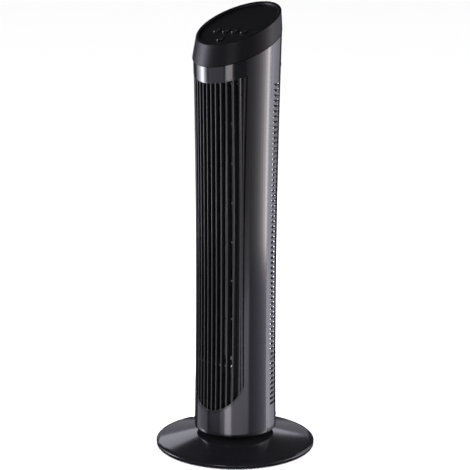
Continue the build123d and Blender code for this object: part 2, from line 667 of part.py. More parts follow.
def key_spot(x, y):
    """Place on the panel's top face: x to the right, y as seen on plan, z out of the panel."""
    return RIM_PLANE * Pos(x, (y - CAP_RIM_SHIFT) * hypot(1.0, CAP_SLOPE), -PANEL_RECESS)


KEYS = [(name, (i - 1.5) * KEY_PITCH, KEY_ROW_Y) for i, name in enumerate(("off", "low", "medium", "high"))]
KEYS.append(("swing", 0.0, KEY_FRONT_Y))


def control_panel():
    """Recessed panel with a hole and a raised collar for each key."""
    shape = well(CAP_LIP_RADIUS - 0.3, -PANEL_RECESS - PANEL_THICKNESS, -PANEL_RECESS)
    for _, x, y in KEYS:
        shape += key_spot(x, y) * tube(KEY_RADIUS + 2.0, 0, -0.2, 0.6)
    for _, x, y in KEYS:
        shape -= key_spot(x, y) * tube(KEY_RADIUS + KEY_GAP, 0, -10, 10)
    return shape


def key(x, y):
    """Round push key with a dished top, a retaining flange and a stem."""
    cap = tube(KEY_RADIUS, 0, -PANEL_THICKNESS - 2.0, KEY_STAND)
    cap = chamfer(cap.edges().filter_by(GeomType.CIRCLE).sort_by(Axis.Z)[-1], 0.5)
    dish = Pos(0, 0, KEY_STAND + 29.2) * Sphere(30)
    flange = tube(KEY_RADIUS + 1.2, 0, -PANEL_THICKNESS - 2.0, -PANEL_THICKNESS - 0.4)
    stem = tube(2.0, 0, -PANEL_THICKNESS - 12.0, -PANEL_THICKNESS - 2.0)
    return key_spot(x, y) * (cap - dish + flange + stem)


SWITCH_TOP = -PANEL_THICKNESS - 9.0
SWITCH_HEIGHT = 14.0
SWITCH_FRONT, SWITCH_REAR = -34.0, 10.0
CARRIER_HALF, CARRIER_INSIDE, CARRIER_TOE = 42.0, 39.0, 50.0
CARRIER_WALL = 2.5


def switch_block():
    """Interlocked key switch under the panel, with a guide hole for each stem."""
    case = block(-38, 38, SWITCH_FRONT, SWITCH_REAR, SWITCH_TOP - SWITCH_HEIGHT, SWITCH_TOP)
    shape = key_spot(0, KEY_ROW_Y) * case
    for _, x, y in KEYS:
        shape -= key_spot(x, y) * tube(2.3, 0, SWITCH_TOP - 8, SWITCH_TOP + 1)
    return shape


def key_spring(x, y):
    """Return spring round a key's stem, between the switch and the key's flange."""
    low, high = SWITCH_TOP + 0.35, -PANEL_THICKNESS - 2.35
    turns = 4
    path = Helix(pitch=(high - low) / turns, height=high - low, radius=3.4)
    wire = Plane(origin=path @ 0, z_dir=path % 0) * Circle(0.3)
    return key_spot(x, y) * Pos(0, 0, low) * sweep(wire, path=path, is_frenet=True)


def switch_carrier():
    """Bridge on two legs that stands on the top plate and carries the switch."""
    high = SWITCH_TOP - SWITCH_HEIGHT
    spot = key_spot(0, KEY_ROW_Y)
    bridge = spot * block(-CARRIER_HALF, CARRIER_HALF, SWITCH_FRONT, SWITCH_REAR, high - CARRIER_WALL, high)
    room = spot * block(-FAR, FAR, SWITCH_FRONT, SWITCH_REAR, -FAR, high - 2.4)
    base_z = TOP_PLATE_Z + DUCT_PLATE
    for side in (-1, 1):
        near, far = sorted((side * CARRIER_INSIDE, side * CARRIER_HALF))
        toe_near, toe_far = sorted((side * CARRIER_INSIDE, side * CARRIER_TOE))
        leg = block(near, far, -46, 8, base_z, 700)
        foot = block(toe_near, toe_far, -30, 4, base_z, base_z + CARRIER_WALL)
        bridge = bridge + (leg & room) + foot
    return bridge


# ---- write -----------------------------------------------------------------------------------------------
def nodes():
    """Every piece as (node name, shape)."""
    made = [
        ("base_cover", base_cover()),
        ("base_bottom_plate", base_bottom_plate()),
        ("rubber_feet", rubber_feet()),
        ("base_screws", base_screws()),
        ("pivot_column", pivot_column()),
        ("column_screws", column_screws()),
        ("thrust_washer", thrust_washer()),
        ("swing_yoke", swing_yoke()),
        ("yoke_screws", yoke_screws()),
        ("front_shell", front_shell()),
        ("rear_shell", rear_shell()),
        ("front_grille", front_grille()),
        ("shell_screws", shell_screws()),
        ("tower_floor", tower_floor()),
        ("bulkhead_plate", bulkhead_plate()),
        ("swing_motor", swing_motor()),
        ("swing_motor_screws", swing_motor_screws()),
        ("swing_crank", swing_crank()),
        ("motor_plate", motor_plate()),
        ("motor_stator", motor_stator()),
        ("motor_windings", motor_windings()),
        ("motor_lower_shield", motor_end(MOTOR_LOW, STACK_LOW, 1)),
        ("motor_upper_shield", motor_end(STACK_HIGH, MOTOR_HIGH, -1)),
        ("motor_bushes", motor_bushes()),
        ("motor_bolts", motor_bolts()),
        ("motor_sleeves", spacer_sleeves()),
        ("motor_capacitor", capacitor()),
        ("wire_loom", wire_loom()),
        ("air_scroll", air_scroll()),
        ("air_tongue", air_tongue()),
        ("front_baffle", front_baffle()),
        ("top_plate", top_plate()),
        ("top_bearing_rubber", bearing_rubber()),
        ("top_bearing_bush", top_bush()),
        ("impeller_hub", impeller_hub()),
        ("hub_grub_screw", hub_grub_screw()),
        ("impeller_top_disc", impeller_top_disc()),
        ("motor_rotor", motor_rotor()),
        ("motor_shaft", motor_shaft()),
        ("cap_housing", cap_housing()),
        ("control_panel", control_panel()),
        ("switch_block", switch_block()),
        ("switch_carrier", switch_carrier()),
    ]
    made += impeller_segments()
    made += [(f"{name}_key", key(x, y)) for name, x, y in KEYS]
    made += [(f"{name}_key_spring", key_spring(x, y)) for name, x, y in KEYS]
    return made


os.makedirs("parts", exist_ok=True)
for node_name, node_shape in nodes():
    export_step(node_shape, f"parts/{node_name}.step")
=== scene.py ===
"""Tower fan: the finished look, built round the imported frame. Metres, +Z up, the air outlet faces -Y."""

import json

import bpy
import numpy as np
from mathutils import Matrix


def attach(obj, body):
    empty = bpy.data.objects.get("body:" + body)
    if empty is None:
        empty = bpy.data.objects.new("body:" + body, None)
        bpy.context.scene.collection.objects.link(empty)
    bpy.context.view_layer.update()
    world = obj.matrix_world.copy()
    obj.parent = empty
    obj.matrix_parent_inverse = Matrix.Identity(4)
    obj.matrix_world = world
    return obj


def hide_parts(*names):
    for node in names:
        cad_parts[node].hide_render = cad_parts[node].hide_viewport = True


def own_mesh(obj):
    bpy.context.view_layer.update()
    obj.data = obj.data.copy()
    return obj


bl_info = {
    "name": "Tower Fan",
    "version": (1, 0, 0),
    "blender": (4, 5, 0),
    "location": "3D View > Sidebar > Tower Fan",
    "description": "Builds the shells, grille, cap, base, key springs and studio of a slim upright fan",
    "category": "Add Mesh",
}

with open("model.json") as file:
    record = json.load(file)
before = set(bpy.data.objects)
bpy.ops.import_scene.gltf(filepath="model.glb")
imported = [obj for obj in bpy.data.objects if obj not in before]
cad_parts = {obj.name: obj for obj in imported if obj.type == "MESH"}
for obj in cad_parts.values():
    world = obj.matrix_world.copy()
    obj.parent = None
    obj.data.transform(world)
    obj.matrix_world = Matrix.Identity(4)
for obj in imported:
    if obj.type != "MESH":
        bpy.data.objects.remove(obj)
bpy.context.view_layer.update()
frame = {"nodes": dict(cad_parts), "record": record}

MM = 0.001

# The tower is a waisted surface of revolution, whose radius grows with the square of the distance from the
# waist.
WAIST_Z = 0.283
WAIST_RADIUS = 0.067
WAIST_CURVE = 0.0313
BODY_BOTTOM = 0.031
BOTTOM_ROUND = 0.002
SEAM_Y = 0.002
SEAM_GAP = 0.0003
CORNER_REACH = 0.006

# The cap is cut off by slanted planes, given by their height on the tower's axis and one shared slope.
SLOPE = 0.485
CAP_SEAM_Z = 0.6735
CAP_GROOVE = 0.001
CAP_RIM_Z = 0.7058
CAP_FOOT_RADIUS = 0.0726
CAP_RIM_RADIUS = 0.069
CAP_RIM_SHIFT = 0.003
CAP_LIP_RADIUS = 0.0632
CAP_WELL = 0.0055
CAP_FOOT_LEDGE = 0.004
CAP_FOOT_EDGE = 0.0008
CAP_WALL = 0.0012
CAP_SIDES = 180

# The outlet opening lies in front of one upright plane, with a round lower end and a slanted top.
OPENING_Y = -0.0412
OPENING_ARC_Z = 0.124
OPENING_ARC_RADIUS = 0.054
OPENING_TOP_Z = 0.6493
SLAT_COUNT = 12
SLAT_PITCH = 0.0087
SLAT_DEPTH = 0.009
GRILLE_INSET = 0.001
GRILLE_DEPTH = 0.010
SURFACE_GAP = 0.0004
NOSE_STEPS = 7
SLAT_ROWS = 40

# Rows of inlet slots round the back.
LOUVRE_COUNT = 63
LOUVRE_PITCH = 0.00857
LOUVRE_HEIGHT = 0.0042
LOUVRE_BOTTOM = 0.079
LOUVRE_START_Y = 0.0095
LOUVRE_RIBS = 5
RIB_WIDTH = 0.003
SLOT_STEPS = 9
SEAM_STRIPS = 4
ROUNDING_LEVELS = (0, 0.1, 0.3, 0.6, 1.0)
PLAIN_LEVELS = (0.04, 0.05, 0.06, 0.07)
TOP_ROWS = 13

# The base is a shallow cone with an upright rim and a cable notch.
BASE_RADIUS = 0.134
BASE_RIM_TOP = 0.0074
BASE_SLOPE = 0.237
BASE_UNDERSIDE = 0.0012
CROWN_RADIUS = 0.048
CROWN_HOLE = 0.019
CROWN_BEND = 0.002
CROWN_DROP = 0.0001
BASE_WALL = 0.0026
BASE_EASE = 0.0004
RIM_MIDDLE_Z = 0.004
RIM_INSIDE_TOP = 0.005
NOTCH_TURN = np.radians(-104.4)
NOTCH_HALF = 0.004
NOTCH_DEPTH = 0.007
NOTCH_FAN = 0.036

# Return springs under the keys, measured squarely from the panel's top face.
PANEL_PLANE_Z = 0.7062
PANEL_DEPTH = 0.0045
SPRING_LOW = -0.01105
SPRING_LENGTH = 0.0063
SPRING_RADIUS = 0.0034
SPRING_WIRE = 0.0003
SPRING_TURNS = 4
STEPS_PER_TURN = 24
WIRE_SIDES = 8
KEY_PITCH = 0.0188
KEY_ROW_Y = -0.0185
SWING_KEY_Y = -0.043
KEY_ROW = ("off", "low", "medium", "high")
KEY_PLACES = {name: ((i - 1.5) * KEY_PITCH, KEY_ROW_Y) for i, name in enumerate(KEY_ROW)}
KEY_PLACES["swing"] = (0.0, SWING_KEY_Y)

# Angles in degrees between faces, above which an edge is rounded or kept as a crease.
ROUNDED_ANGLE = 40.0
CREASE_ANGLE = 50.0

FLOOR_MIDDLE = 0.2
FLOOR_REACH = 60.0
FLOOR_DROP = 0.0002
FLOOR_RINGS = 13
FLOOR_SIDES = 64
DUST = (0.2, 0.19, 0.18)

WARM = (1.0, 0.93, 0.96)
COOL = (0.87, 0.86, 1.0)
RAMP_STEPS = 8

# Plain soft boxes round the fan: name, azimuth in degrees from the front towards +X, distance, lower and
# upper edge, width, brightness and colour.
SOFT_BOXES = (
    ("front_haze", -17.0, 3.0, -0.9, 1.4, 2.5, 0.8, COOL),
    ("grey_card", 20.0, 2.7, -0.9, 1.6, 0.85, 5.0, WARM),
    ("low_back", 226.0, 2.8, 0.0, 0.85, 2.0, 0.35, COOL),
    ("high_back", 228.0, 2.8, 0.85, 1.7, 2.2, 1.8, COOL),
    ("floor_glow", 38.0, 2.9, -0.9, -0.25, 4.6, 0.5, COOL),
    ("rim_glow", 38.0, 2.6, -1.0, -0.45, 4.4, 1.6, COOL),
)
# Graded soft boxes: name, first and last azimuth, distance, lower and upper edge, brightness at both ends and
# colour.
GRADED_BOXES = (
    ("key_left", -92.0, -60.0, 2.4, -0.15, 1.9, 1.0, 22.0, COOL),
    ("key_right", -60.0, -44.0, 2.4, -0.15, 1.9, 22.0, 2.0, COOL),
    ("key_below", -92.0, -44.0, 2.4, -0.9, -0.15, 0.9, 0.9, COOL),
    ("side_rise", 66.0, 136.0, 2.5, -0.2, 2.2, 0.25, 11.0, WARM),
    ("side_below", 66.0, 136.0, 2.5, -0.9, -0.2, 0.25, 1.6, COOL),
    ("rear_fall", 137.0, 186.0, 2.5, -0.9, 2.2, 5.5, 0.8, COOL),
)


def body_radius(z):
    """Radius of the tower's outer surface at height z."""
    return WAIST_RADIUS + WAIST_CURVE * (z - WAIST_Z) ** 2


def round_axis(radius, angle, z):
    """Points at a distance from the axis, an angle from the front and a height."""
    x = radius * np.sin(angle)
    y = -radius * np.cos(angle)
    return np.stack([x, y, np.broadcast_to(z, x.shape)], axis=-1)


def on_body(angle, z, inset=0.0):
    """Points at an angle from the front and a height, a given depth under the tower's surface."""
    return round_axis(body_radius(z) - inset, angle, z)


def full_turn(steps):
    """Evenly spaced angles once round, without the repeated last one."""
    return np.linspace(0, 2 * np.pi, steps + 1)[:-1]


# ---- meshes ----


def grid_faces(rows, columns, closed_rows=False, closed_columns=False, start=0):
    """Corner numbers of the quads of a grid of points, as an array of four columns."""
    row = np.arange(rows if closed_rows else rows - 1)
    column = np.arange(columns if closed_columns else columns - 1)
    r, c = np.meshgrid(row, column, indexing="ij")
    r2, c2 = (r + 1) % rows, (c + 1) % columns
    quads = np.stack([r * columns + c, r * columns + c2, r2 * columns + c2, r2 * columns + c], axis=-1)
    return quads.reshape(-1, 4) + start


def mesh_piece(name, points, faces, body, material):
    """Makes one object from an array of points and an array of faces, and hangs it on a body of the frame."""
    points = np.asarray(points, dtype=np.float32).reshape(-1, 3)
    faces = np.asarray(faces, dtype=np.int32)
    corners = faces.shape[1]
    mesh = bpy.data.meshes.new(name)
    mesh.vertices.add(len(points))
    mesh.vertices.foreach_set("co", points.ravel())
    mesh.loops.add(faces.size)
    mesh.loops.foreach_set("vertex_index", faces.ravel())
    mesh.polygons.add(len(faces))
    mesh.polygons.foreach_set("loop_start", np.arange(len(faces), dtype=np.int32) * corners)
    mesh.polygons.foreach_set("use_smooth", np.full(len(faces), True))
    mesh.update(calc_edges=True)
    mesh.validate()
    piece = bpy.data.objects.new(name, mesh)
    bpy.context.scene.collection.objects.link(piece)
    mesh.materials.append(material)
    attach(piece, body)
    return piece


def thicken(piece, depth):
    """Gives a surface a wall of that depth behind it."""
    wall = piece.modifiers.new("Wall", "SOLIDIFY")
    wall.thickness = depth
    wall.offset = -1.0
    wall.use_even_offset = False


def soften(piece, width, segments=2):
    """Rounds the sharp edges and keeps the broad faces' shading flat or smooth as they are."""
    edge = piece.modifiers.new("Edge", "BEVEL")
    edge.width = width
    edge.segments = segments
    edge.limit_method = "ANGLE"
    edge.angle_limit = np.radians(ROUNDED_ANGLE)
    edge.harden_normals = True
    edge.use_clamp_overlap = True


def mark_sharp(piece):
    """Keeps the shading's creases where faces meet at a steep angle."""
    piece.data.set_sharp_from_angle(angle=np.radians(CREASE_ANGLE))


# ---- outlines on the tower's surface ----

SIDE_STEPS = 60
CORNER_STEPS = 9
TOP_STEPS = 42
ARC_STEPS = 60


def slanted_height(angle, z_on_axis, inset=0.0):
    """Height where a slanted plane crosses the tower's surface.

    Height and radius depend on each other, so each answer is put back in, three times.
    """
    z = np.full_like(angle, z_on_axis)
    for _ in range(3):
        z = z_on_axis - SLOPE * (body_radius(z) - inset) * np.cos(angle)
    return z


def mirrored_loop(side, top, low):
    """Joins a right side that runs up, a top that runs left, the side's mirror image and a lower edge."""
    other = side[:, ::-1] * np.array([[-1.0], [1.0]])
    return np.concatenate([side, top, other, low], axis=1)


def opening_outline(gap, inset, rounding):
    """Outline of the outlet as angles and heights, shrunk by a gap, on a surface a given depth down.

    The sides are where the surface meets an upright plane, and the lower end is an arc seen squarely from the
    front. The top is a slanted plane, and its corners are eased by a quadratic curve between side and top.
    """
    plane = gap - OPENING_Y
    arc = OPENING_ARC_RADIUS - gap

    def side_angle(z):
        return np.arccos(plane / (body_radius(z) - inset))

    swing = np.pi / 2
    for _ in range(4):
        low_z = OPENING_ARC_Z - arc * np.cos(swing)
        swing = np.arcsin(min(1.0, (body_radius(low_z) - inset) * np.sin(side_angle(low_z)) / arc))
    corner_z = OPENING_TOP_Z - gap - SLOPE * plane
    corner_angle = side_angle(corner_z)
    eased = np.array([corner_angle - rounding / WAIST_RADIUS])
    side_z = np.linspace(low_z, corner_z - rounding, SIDE_STEPS)
    start = np.array([[side_angle(side_z[-1])], [side_z[-1]]])
    middle = np.array([[corner_angle], [corner_z]])
    end = np.stack([eased, slanted_height(eased, OPENING_TOP_Z - gap, inset)])
    turn = np.linspace(0, 1, CORNER_STEPS + 1)[1:]
    corner = (1 - turn) ** 2 * start + 2 * turn * (1 - turn) * middle + turn**2 * end
    side = np.concatenate([np.stack([side_angle(side_z), side_z]), corner], axis=1)
    top_angle = np.linspace(eased[0], -eased[0], TOP_STEPS + 2)[1:-1]
    top = np.stack([top_angle, slanted_height(top_angle, OPENING_TOP_Z - gap, inset)])
    bend = np.linspace(-swing, swing, ARC_STEPS + 2)[1:-1]
    arc_z = OPENING_ARC_Z - arc * np.cos(bend)
    low = np.stack([np.arcsin(arc * np.sin(bend) / (body_radius(arc_z) - inset)), arc_z])
    return mirrored_loop(side, top, low)


def seam_angle(z, side_of_seam):
    """Angle from the front where the shells meet, a hair in front of or behind the seam's plane."""
    return np.arccos(-(SEAM_Y + side_of_seam * SEAM_GAP / 2) / body_radius(z))


def shell_outline():
    """Outline of the front shell, with its points opposite those of the outlet's outline."""
    shell_top = CAP_SEAM_Z - CAP_GROOVE / 2
    seam_top = shell_top + SLOPE * SEAM_Y
    low = np.linspace(BODY_BOTTOM, seam_top - CORNER_REACH, SIDE_STEPS)
    high = np.linspace(seam_top - CORNER_REACH, seam_top, CORNER_STEPS // 2 + 2)[1:]
    up = np.append(low, high)
    corner_angle = seam_angle(seam_top, -1)
    reach = CORNER_REACH / WAIST_RADIUS
    along = np.linspace(corner_angle, corner_angle - reach, CORNER_STEPS - len(high) + 1)[1:]
    rising = np.stack([seam_angle(up, -1), up])
    turning = np.stack([along, slanted_height(along, shell_top)])
    side = np.concatenate([rising, turning], axis=1)
    top_angle = np.linspace(along[-1], -along[-1], TOP_STEPS + 2)[1:-1]
    top = np.stack([top_angle, slanted_height(top_angle, shell_top)])
    low_angle = np.linspace(-side[0, 0], side[0, 0], ARC_STEPS + 2)[1:-1]
    return mirrored_loop(side, top, np.stack([low_angle, np.full(ARC_STEPS, BODY_BOTTOM)]))


def bottom_rounding(z):
    """Depth the surface draws in near the tower's lower edge: a quarter circle."""
    rise = np.clip((z - BODY_BOTTOM) / BOTTOM_ROUND, 0.0, 1.0)
    return BOTTOM_ROUND * (1 - np.sqrt(1 - (1 - rise) ** 2))


# ---- the tower's outer pieces ----


def front_shell(sizes, material):
    """Front shell: rows of points on the tower's surface, from the outlet's outline to the shell's own."""
    inner = opening_outline(0.0, 0.0, sizes.outlet_corner)
    outer = shell_outline()
    share = np.concatenate([np.linspace(0, 0.97, 16), [0.985, 0.995, 1.0]])
    angle, z = inner[:, :, None] * (1 - share) + outer[:, :, None] * share
    points = on_body(angle, z, bottom_rounding(z))
    faces = grid_faces(*z.shape, closed_rows=True)
    piece = mesh_piece("front_shell_skin", points, faces, "tower", material)
    thicken(piece, sizes.wall)
    soften(piece, sizes.edge)
    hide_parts("front_shell")


def slot_spans():
    """Angles from the front between which each inlet slot of a row runs."""
    start = np.pi / 2 + np.arcsin(LOUVRE_START_Y / WAIST_RADIUS)
    span = (2 * np.pi - 2 * start) / (LOUVRE_RIBS + 1)
    half_rib = RIB_WIDTH / 2 / WAIST_RADIUS
    spans = []
    for column in range(LOUVRE_RIBS + 1):
        left = start + span * column + (half_rib if column else 0.0)
        right = start + span * (column + 1) - (half_rib if column < LOUVRE_RIBS else 0.0)
        spans.append((left, right))
    return spans


def rear_shell(sizes, material):
    """Rear shell: a grid of angles and heights round the back, with the cells of the inlet slots left out."""
    spans = slot_spans()
    side = np.linspace(0, 1, SEAM_STRIPS + 1)[:-1] * (spans[0][0] - np.pi / 2) + np.pi / 2
    across = [np.linspace(left, right, SLOT_STEPS) for left, right in spans]
    lines = np.concatenate([side, *across, 2 * np.pi - side[::-1]])
    slots = LOUVRE_BOTTOM + np.arange(LOUVRE_COUNT) * LOUVRE_PITCH
    rounding = BODY_BOTTOM + BOTTOM_ROUND * np.array(ROUNDING_LEVELS)
    slot_edges = np.stack([slots - LOUVRE_HEIGHT / 2, slots + LOUVRE_HEIGHT / 2], axis=1).ravel()
    levels = np.concatenate([rounding, PLAIN_LEVELS, slot_edges])
    upper = np.linspace(0, 1, TOP_ROWS + 1)[1:, None]
    top = slanted_height(lines, CAP_SEAM_Z - CAP_GROOVE / 2)
    rise = levels[-1] + upper * (top - levels[-1])
    z = np.concatenate([np.broadcast_to(levels[:, None], (len(levels), len(lines))), rise])
    angle = np.broadcast_to(lines, z.shape).copy()
    edge = seam_angle(z[:, 0], 1)
    angle[:, 0] = edge
    angle[:, -1] = 2 * np.pi - edge
    points = on_body(angle, z, bottom_rounding(z))
    faces = grid_faces(*z.shape)
    middle_angle = angle.ravel()[faces].mean(axis=1)
    middle_z = z.ravel()[faces].mean(axis=1)
    off_row = (middle_z - LOUVRE_BOTTOM + LOUVRE_PITCH / 2) % LOUVRE_PITCH - LOUVRE_PITCH / 2
    in_row = np.abs(off_row) < LOUVRE_HEIGHT / 2
    in_row &= (middle_z > slot_edges[0]) & (middle_z < slot_edges[-1])
    in_slot = np.any([(middle_angle > left) & (middle_angle < right) for left, right in spans], axis=0)
    faces = faces[~(in_row & in_slot)]
    piece = mesh_piece("rear_shell_skin", points, faces, "tower", material)
    thicken(piece, sizes.wall)
    soften(piece, sizes.slot_edge, segments=1)
    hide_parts("rear_shell")


def grille_frame(sizes, material):
    """Frame of the grille: a four-cornered section carried round two matching outlines of the outlet."""
    wide = SURFACE_GAP
    narrow = SURFACE_GAP + sizes.grille_frame
    section = ((wide, GRILLE_INSET), (narrow, GRILLE_INSET), (narrow, GRILLE_DEPTH), (wide, GRILLE_DEPTH))
    rings = []
    for gap, inset in section:
        angle, z = opening_outline(gap, inset, max(sizes.outlet_corner - gap, MM))
        rings.append(on_body(angle, z, inset))
    points = np.stack(rings, axis=1)
    faces = grid_faces(*points.shape[:2], closed_rows=True, closed_columns=True)
    piece = mesh_piece("grille_frame", points, faces[:, ::-1], "tower", material)
    soften(piece, sizes.edge)
    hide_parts("front_grille")


def grille_slats(sizes, material):
    """Upright slats: a section with a round nose, carried up the tower's front at each slat's place."""
    nose = np.linspace(-np.pi / 2, np.pi / 2, NOSE_STEPS)
    half = sizes.slat_width / 2
    across = np.concatenate([half * np.sin(nose), [half, -half]])
    depth = np.concatenate([half * (1 - np.cos(nose)), [SLAT_DEPTH, SLAT_DEPTH]])
    middle = (np.arange(SLAT_COUNT) - (SLAT_COUNT - 1) / 2) * SLAT_PITCH
    arc = OPENING_ARC_RADIUS - SURFACE_GAP - sizes.grille_frame / 2
    low = OPENING_ARC_Z - np.sqrt(np.maximum(arc**2 - middle**2, 0.0))
    radius = body_radius(OPENING_TOP_Z) - GRILLE_INSET
    high = OPENING_TOP_Z - SURFACE_GAP - sizes.grille_frame / 2 - SLOPE * np.sqrt(radius**2 - middle**2)
    share = np.linspace(0, 1, SLAT_ROWS)
    z = low[:, None] + share * (high - low)[:, None]
    x = np.broadcast_to(middle[:, None, None] + across, (SLAT_COUNT, len(share), len(across)))
    reach = body_radius(z)[:, :, None] - GRILLE_INSET
    y = depth - np.sqrt(reach**2 - x**2)
    points = np.stack([x, y, np.broadcast_to(z[:, :, None], x.shape)], axis=-1)
    middles = np.broadcast_to(points.mean(axis=2, keepdims=True), points.shape)
    points = np.concatenate([middles[:, :1], points, middles[:, -1:]], axis=1)
    rows, columns = points.shape[1:3]
    starts = np.arange(SLAT_COUNT) * rows * columns
    faces = np.concatenate([grid_faces(rows, columns, closed_columns=True, start=start) for start in starts])
    piece = mesh_piece("grille_slats", points, faces, "tower", material)
    mark_sharp(piece)


# ---- cap and base ----


def arc_nodes(end, steps):
    """Sines and one-minus-cosines of even angles from none to an end in degrees, for rounding an edge."""
    angle = np.radians(np.linspace(0, end, steps))
    return np.sin(angle), 1 - np.cos(angle)


def cap_rings(edge, lip):
    """Cap's section from foot to lip, one entry for each ring.

    An entry is the ring's radius, how far it sits behind the axis and its plane's height on the axis.
    """
    foot = CAP_SEAM_Z + CAP_GROOVE / 2
    foot_top = foot + CAP_FOOT_EDGE
    height = CAP_RIM_Z - edge - foot - CAP_FOOT_EDGE
    rise, draw = arc_nodes(90, 9)
    rings = [(CAP_FOOT_RADIUS - CAP_FOOT_LEDGE, 0.0, foot), (CAP_FOOT_RADIUS - CAP_FOOT_EDGE, 0.0, foot)]
    for t in np.linspace(0, 1, 10):
        radius = CAP_FOOT_RADIUS + (CAP_RIM_RADIUS - CAP_FOOT_RADIUS) * t
        rings.append((radius, CAP_RIM_SHIFT * t, foot_top + height * t))
    for up, back in zip(rise[1:], draw[1:]):
        rings.append((CAP_RIM_RADIUS - edge * back, CAP_RIM_SHIFT, CAP_RIM_Z - edge + edge * up))
    for up, back in zip(rise, draw):
        rings.append((CAP_LIP_RADIUS + lip * (1 - up), CAP_RIM_SHIFT, CAP_RIM_Z - lip * back))
    rings.append((CAP_LIP_RADIUS, CAP_RIM_SHIFT, CAP_RIM_Z - CAP_WELL))
    return rings


def cap_housing(sizes, material):
    """Cap: rings that look round from above, each on its own slanted plane, stacked into a wall and a lip."""
    radius, shift, plane = np.array(cap_rings(sizes.cap_edge, sizes.lip_edge)).T[:, :, None]
    angle = full_turn(CAP_SIDES)[None, :]
    y = shift - radius * np.cos(angle)
    points = np.stack([radius * np.sin(angle), y, plane + SLOPE * y], axis=-1)
    faces = grid_faces(*y.shape, closed_columns=True)
    piece = mesh_piece("cap_collar", points, faces, "tower", material)
    thicken(piece, CAP_WALL)
    mark_sharp(piece)
    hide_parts("cap_housing")


def base_profile(edge):
    """Base's section as radii and heights: crown, cone, rounded rim, then back along the underside."""
    crown_z = BASE_RIM_TOP + (BASE_RADIUS - CROWN_RADIUS) * BASE_SLOPE
    rim_z = BASE_RIM_TOP - 0.6 * edge
    rise, draw = arc_nodes(76, 7)
    profile = [
        (CROWN_HOLE, crown_z - BASE_WALL),
        (CROWN_HOLE, crown_z - BASE_EASE),
        (CROWN_HOLE + BASE_EASE, crown_z),
        (CROWN_RADIUS - CROWN_BEND, crown_z),
        (CROWN_RADIUS, crown_z - CROWN_DROP),
    ]
    for radius in np.linspace(CROWN_RADIUS + CROWN_BEND, BASE_RADIUS - 1.6 * edge, 14):
        profile.append((radius, BASE_RIM_TOP + (BASE_RADIUS - radius) * BASE_SLOPE))
    for up, back in zip(rise[::-1], draw[::-1]):
        profile.append((BASE_RADIUS - edge * back, rim_z - edge + edge * up))
    profile += [
        (BASE_RADIUS - BASE_EASE / 2, RIM_MIDDLE_Z),
        (BASE_RADIUS - BASE_EASE, BASE_UNDERSIDE + BASE_EASE),
        (BASE_RADIUS - 2 * BASE_EASE, BASE_UNDERSIDE),
        (BASE_RADIUS - BASE_WALL, BASE_UNDERSIDE),
        (BASE_RADIUS - BASE_WALL, RIM_INSIDE_TOP),
        (CROWN_RADIUS, crown_z - BASE_WALL),
    ]
    return profile


def notch_limit(angle):
    """Largest radius at each angle: the base's own, or the cable notch's round-ended outline within it."""
    off = BASE_RADIUS * np.sin(np.clip(angle - NOTCH_TURN, -0.5, 0.5))
    inside = (np.abs(off) < NOTCH_HALF) & (np.cos(angle - NOTCH_TURN) > 0)
    bite = BASE_RADIUS - NOTCH_DEPTH - np.sqrt(np.maximum(NOTCH_HALF**2 - off**2, 0.0))
    return np.where(inside, bite, BASE_RADIUS)


def base_cover(sizes, material):
    """Base: a profile turned about the axis and drawn in at the cable notch, where the steps are finer."""
    radius, height = np.array(base_profile(sizes.base_edge)).T[:, :, None]
    fine = NOTCH_TURN + np.linspace(-1, 1, 49) * NOTCH_FAN
    coarse = NOTCH_TURN + np.linspace(NOTCH_FAN, 2 * np.pi - NOTCH_FAN, 170)[1:-1]
    angle = np.concatenate([fine, coarse])[None, :]
    points = round_axis(np.minimum(radius, notch_limit(angle)), angle, height)
    faces = grid_faces(*points.shape[:2], closed_rows=True, closed_columns=True)
    piece = mesh_piece("base_cone", points, faces[:, ::-1], "base", material)
    mark_sharp(piece)
    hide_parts("base_cover")


def key_springs(material):
    """Return springs: a round wire on a helix about each key's stem, built at one fixed length; nothing here
    shortens it as the key goes down.
    """
    across = np.array([1.0, 0.0, 0.0])
    uphill = np.array([0.0, 1.0, SLOPE]) / np.hypot(1, SLOPE)
    normal = np.array([0.0, -SLOPE, 1.0]) / np.hypot(1, SLOPE)
    rows = STEPS_PER_TURN * SPRING_TURNS + 1
    turn = np.linspace(0, 2 * np.pi * SPRING_TURNS, rows)[:, None, None]
    bend = full_turn(WIRE_SIDES)[None, :, None]
    radius = SPRING_RADIUS + SPRING_WIRE * np.cos(bend)
    rise = SPRING_LENGTH * turn / turn[-1] + SPRING_WIRE * np.sin(bend)
    coil = radius * np.cos(turn) * across + radius * np.sin(turn) * uphill + rise * normal
    # Three quads close each end of the eight-sided wire.
    end = np.array([[0, 1, 2, 7], [2, 3, 6, 7], [3, 4, 5, 6]])
    wire = grid_faces(rows, WIRE_SIDES, closed_columns=True)[:, ::-1]
    faces = np.concatenate([wire, end, end[:, ::-1] + (rows - 1) * WIRE_SIDES])
    for name, (x, y) in KEY_PLACES.items():
        foot = np.array([x, y, PANEL_PLANE_Z + SLOPE * y]) + (SPRING_LOW - PANEL_DEPTH) * normal
        piece = mesh_piece(f"{name}_key_coil", foot + coil, faces, "tower", material)
        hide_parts(f"{name}_key_spring")
        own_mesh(piece)


# ---- shader effects shared by several finishes ----


def new_group(name, inputs, outputs):
    """Empty shader node group with the given number sockets, and its input and output nodes."""
    group = bpy.data.node_groups.new(name, "ShaderNodeTree")
    for label, value in inputs.items():
        socket = group.interface.new_socket(label, in_out="INPUT", socket_type="NodeSocketFloat")
        socket.default_value = value
    for label in outputs:
        group.interface.new_socket(label, in_out="OUTPUT", socket_type="NodeSocketFloat")
    return group, group.nodes.new("NodeGroupInput"), group.nodes.new("NodeGroupOutput")


